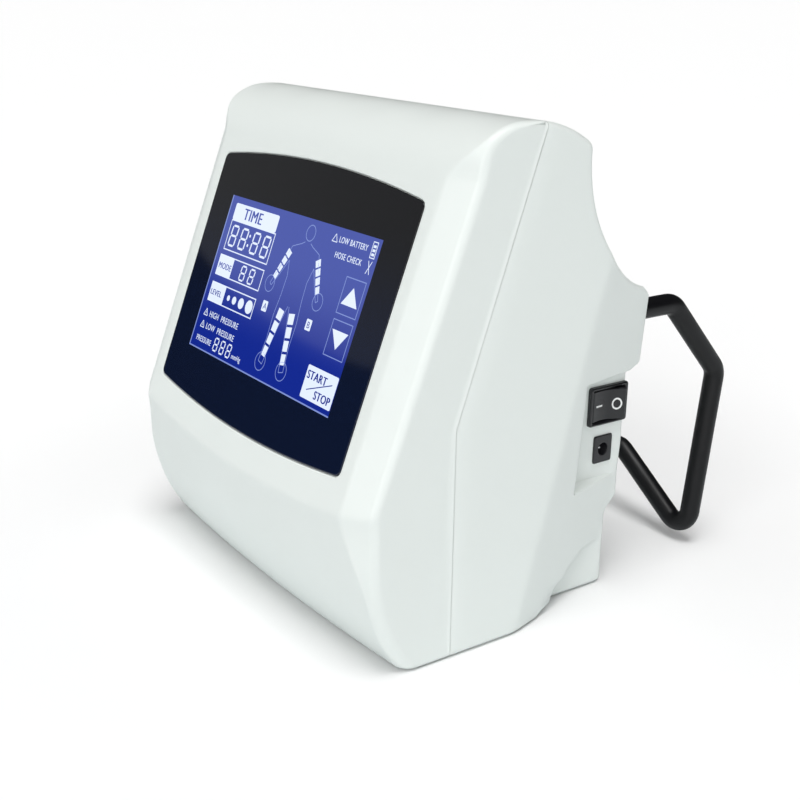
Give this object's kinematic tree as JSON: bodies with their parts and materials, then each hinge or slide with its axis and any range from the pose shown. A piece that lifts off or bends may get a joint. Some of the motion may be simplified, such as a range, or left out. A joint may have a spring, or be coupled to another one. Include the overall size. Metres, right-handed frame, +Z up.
{
  "type": "compression therapy pump",
  "caption": "Tabletop air compression therapy pump with a tilted touch display, side power switch and swinging bed hook.",
  "frame": {"origin": "on the table, under the centre of the pump's outline with the hook hanging", "axes": "+X towards the flank with the power switch, +Y from the display to the back, +Z up"},
  "size_m": [0.23, 0.2556, 0.2444],
  "materials": {
    "casing": "fine satin moulding, off-white with a cool tint",
    "touch_glass": "polished, dark behind the border",
    "display": "lit blue picture",
    "black_plastic": "fine satin",
    "hook_coating": "semi-matt black coating",
    "rubber": "matt",
    "circuit_board": "green mask",
    "hose": "milky",
    "pale_plastic": "plain",
    "battery_wrap": "shrink wrap",
    "steel": "plated"
  },
  "bodies": {
    "casing": {"front_shell": "casing", "rear_shell": "casing", "base_tray": "casing", "touch_glass": "touch_glass", "glass_gasket": "rubber", "lcd_panel": "display", "backlight_unit": "steel", "display_board": "circuit_board", "display_screws": "steel", "switch_housing": "black_plastic", "switch_terminals": "steel", "dc_jack": "black_plastic", "dc_jack_pin": "steel", "dc_jack_nut": "steel", "outlet_body_a": "black_plastic", "outlet_body_b": "black_plastic", "outlet_nut_a": "steel", "outlet_nut_b": "steel", "hook_pin_left": "steel", "hook_pin_right": "steel", "hook_washers": "pale_plastic", "pump_motor": "steel", "pump_housing": "black_plastic", "pump_diaphragm": "rubber", "pump_head": "black_plastic", "pump_bracket": "steel", "pump_grommets": "rubber", "valve_manifold": "black_plastic", "valve_coil_1": "black_plastic", "valve_coil_2": "black_plastic", "valve_coil_3": "black_plastic", "valve_coil_4": "black_plastic", "supply_hose": "hose", "outlet_hose_a": "hose", "outlet_hose_b": "hose", "battery_pack": "battery_wrap", "battery_clamp": "steel", "main_board": "circuit_board", "board_components": "black_plastic", "pressure_sensor": "pale_plastic", "buzzer": "black_plastic", "board_screws": "steel", "ribbon_cable": "pale_plastic", "case_screws": "steel", "base_screws": "steel", "rubber_feet": "rubber"},
    "hook": {"bed_hook": "hook_coating"},
    "rocker": {"power_rocker": "black_plastic"},
    "latch_a": {"outlet_latch_a": "steel"},
    "latch_b": {"outlet_latch_b": "steel"},
    "crank": {"pump_crank": "steel"},
    "plunger_1": {"valve_plunger_1": "steel"},
    "plunger_2": {"valve_plunger_2": "steel"},
    "plunger_3": {"valve_plunger_3": "steel"},
    "plunger_4": {"valve_plunger_4": "steel"}
  },
  "joints": [
    {"name": "hook_swing", "type": "hinge", "parent": "casing", "child": "hook", "pos_m": [0, 0.04064, 0.1433], "axis": [1, 0, 0], "range_deg": [0, 80]},
    {"name": "rocker_tilt", "type": "hinge", "parent": "casing", "child": "rocker", "pos_m": [0.094, 0.03164, 0.101], "axis": [0, 0, 1], "range_deg": [0, 18]},
    {"name": "latch_a_press", "type": "slide", "parent": "casing", "child": "latch_a", "axis": [0, 0, -1], "range_m": [0, 0.0012], "stiffness_N_per_m": 800, "springref_m": -0.001},
    {"name": "latch_b_press", "type": "slide", "parent": "casing", "child": "latch_b", "axis": [0, 0, -1], "range_m": [0, 0.0012], "stiffness_N_per_m": 800, "springref_m": -0.001},
    {"name": "crank_spin", "type": "hinge", "parent": "casing", "child": "crank", "pos_m": [-0.004, -0.05136, 0.0388], "axis": [1, 0, 0], "continuous": true},
    {"name": "plunger_1_lift", "type": "slide", "parent": "casing", "child": "plunger_1", "axis": [0, 0, 1], "range_m": [0, 0.0012], "stiffness_N_per_m": 500, "springref_m": -0.001},
    {"name": "plunger_2_lift", "type": "slide", "parent": "casing", "child": "plunger_2", "axis": [0, 0, 1], "range_m": [0, 0.0012], "stiffness_N_per_m": 500, "springref_m": -0.001},
    {"name": "plunger_3_lift", "type": "slide", "parent": "casing", "child": "plunger_3", "axis": [0, 0, 1], "range_m": [0, 0.0012], "stiffness_N_per_m": 500, "springref_m": -0.001},
    {"name": "plunger_4_lift", "type": "slide", "parent": "casing", "child": "plunger_4", "axis": [0, 0, 1], "range_m": [0, 0.0012], "stiffness_N_per_m": 500, "springref_m": -0.001}
  ]
}
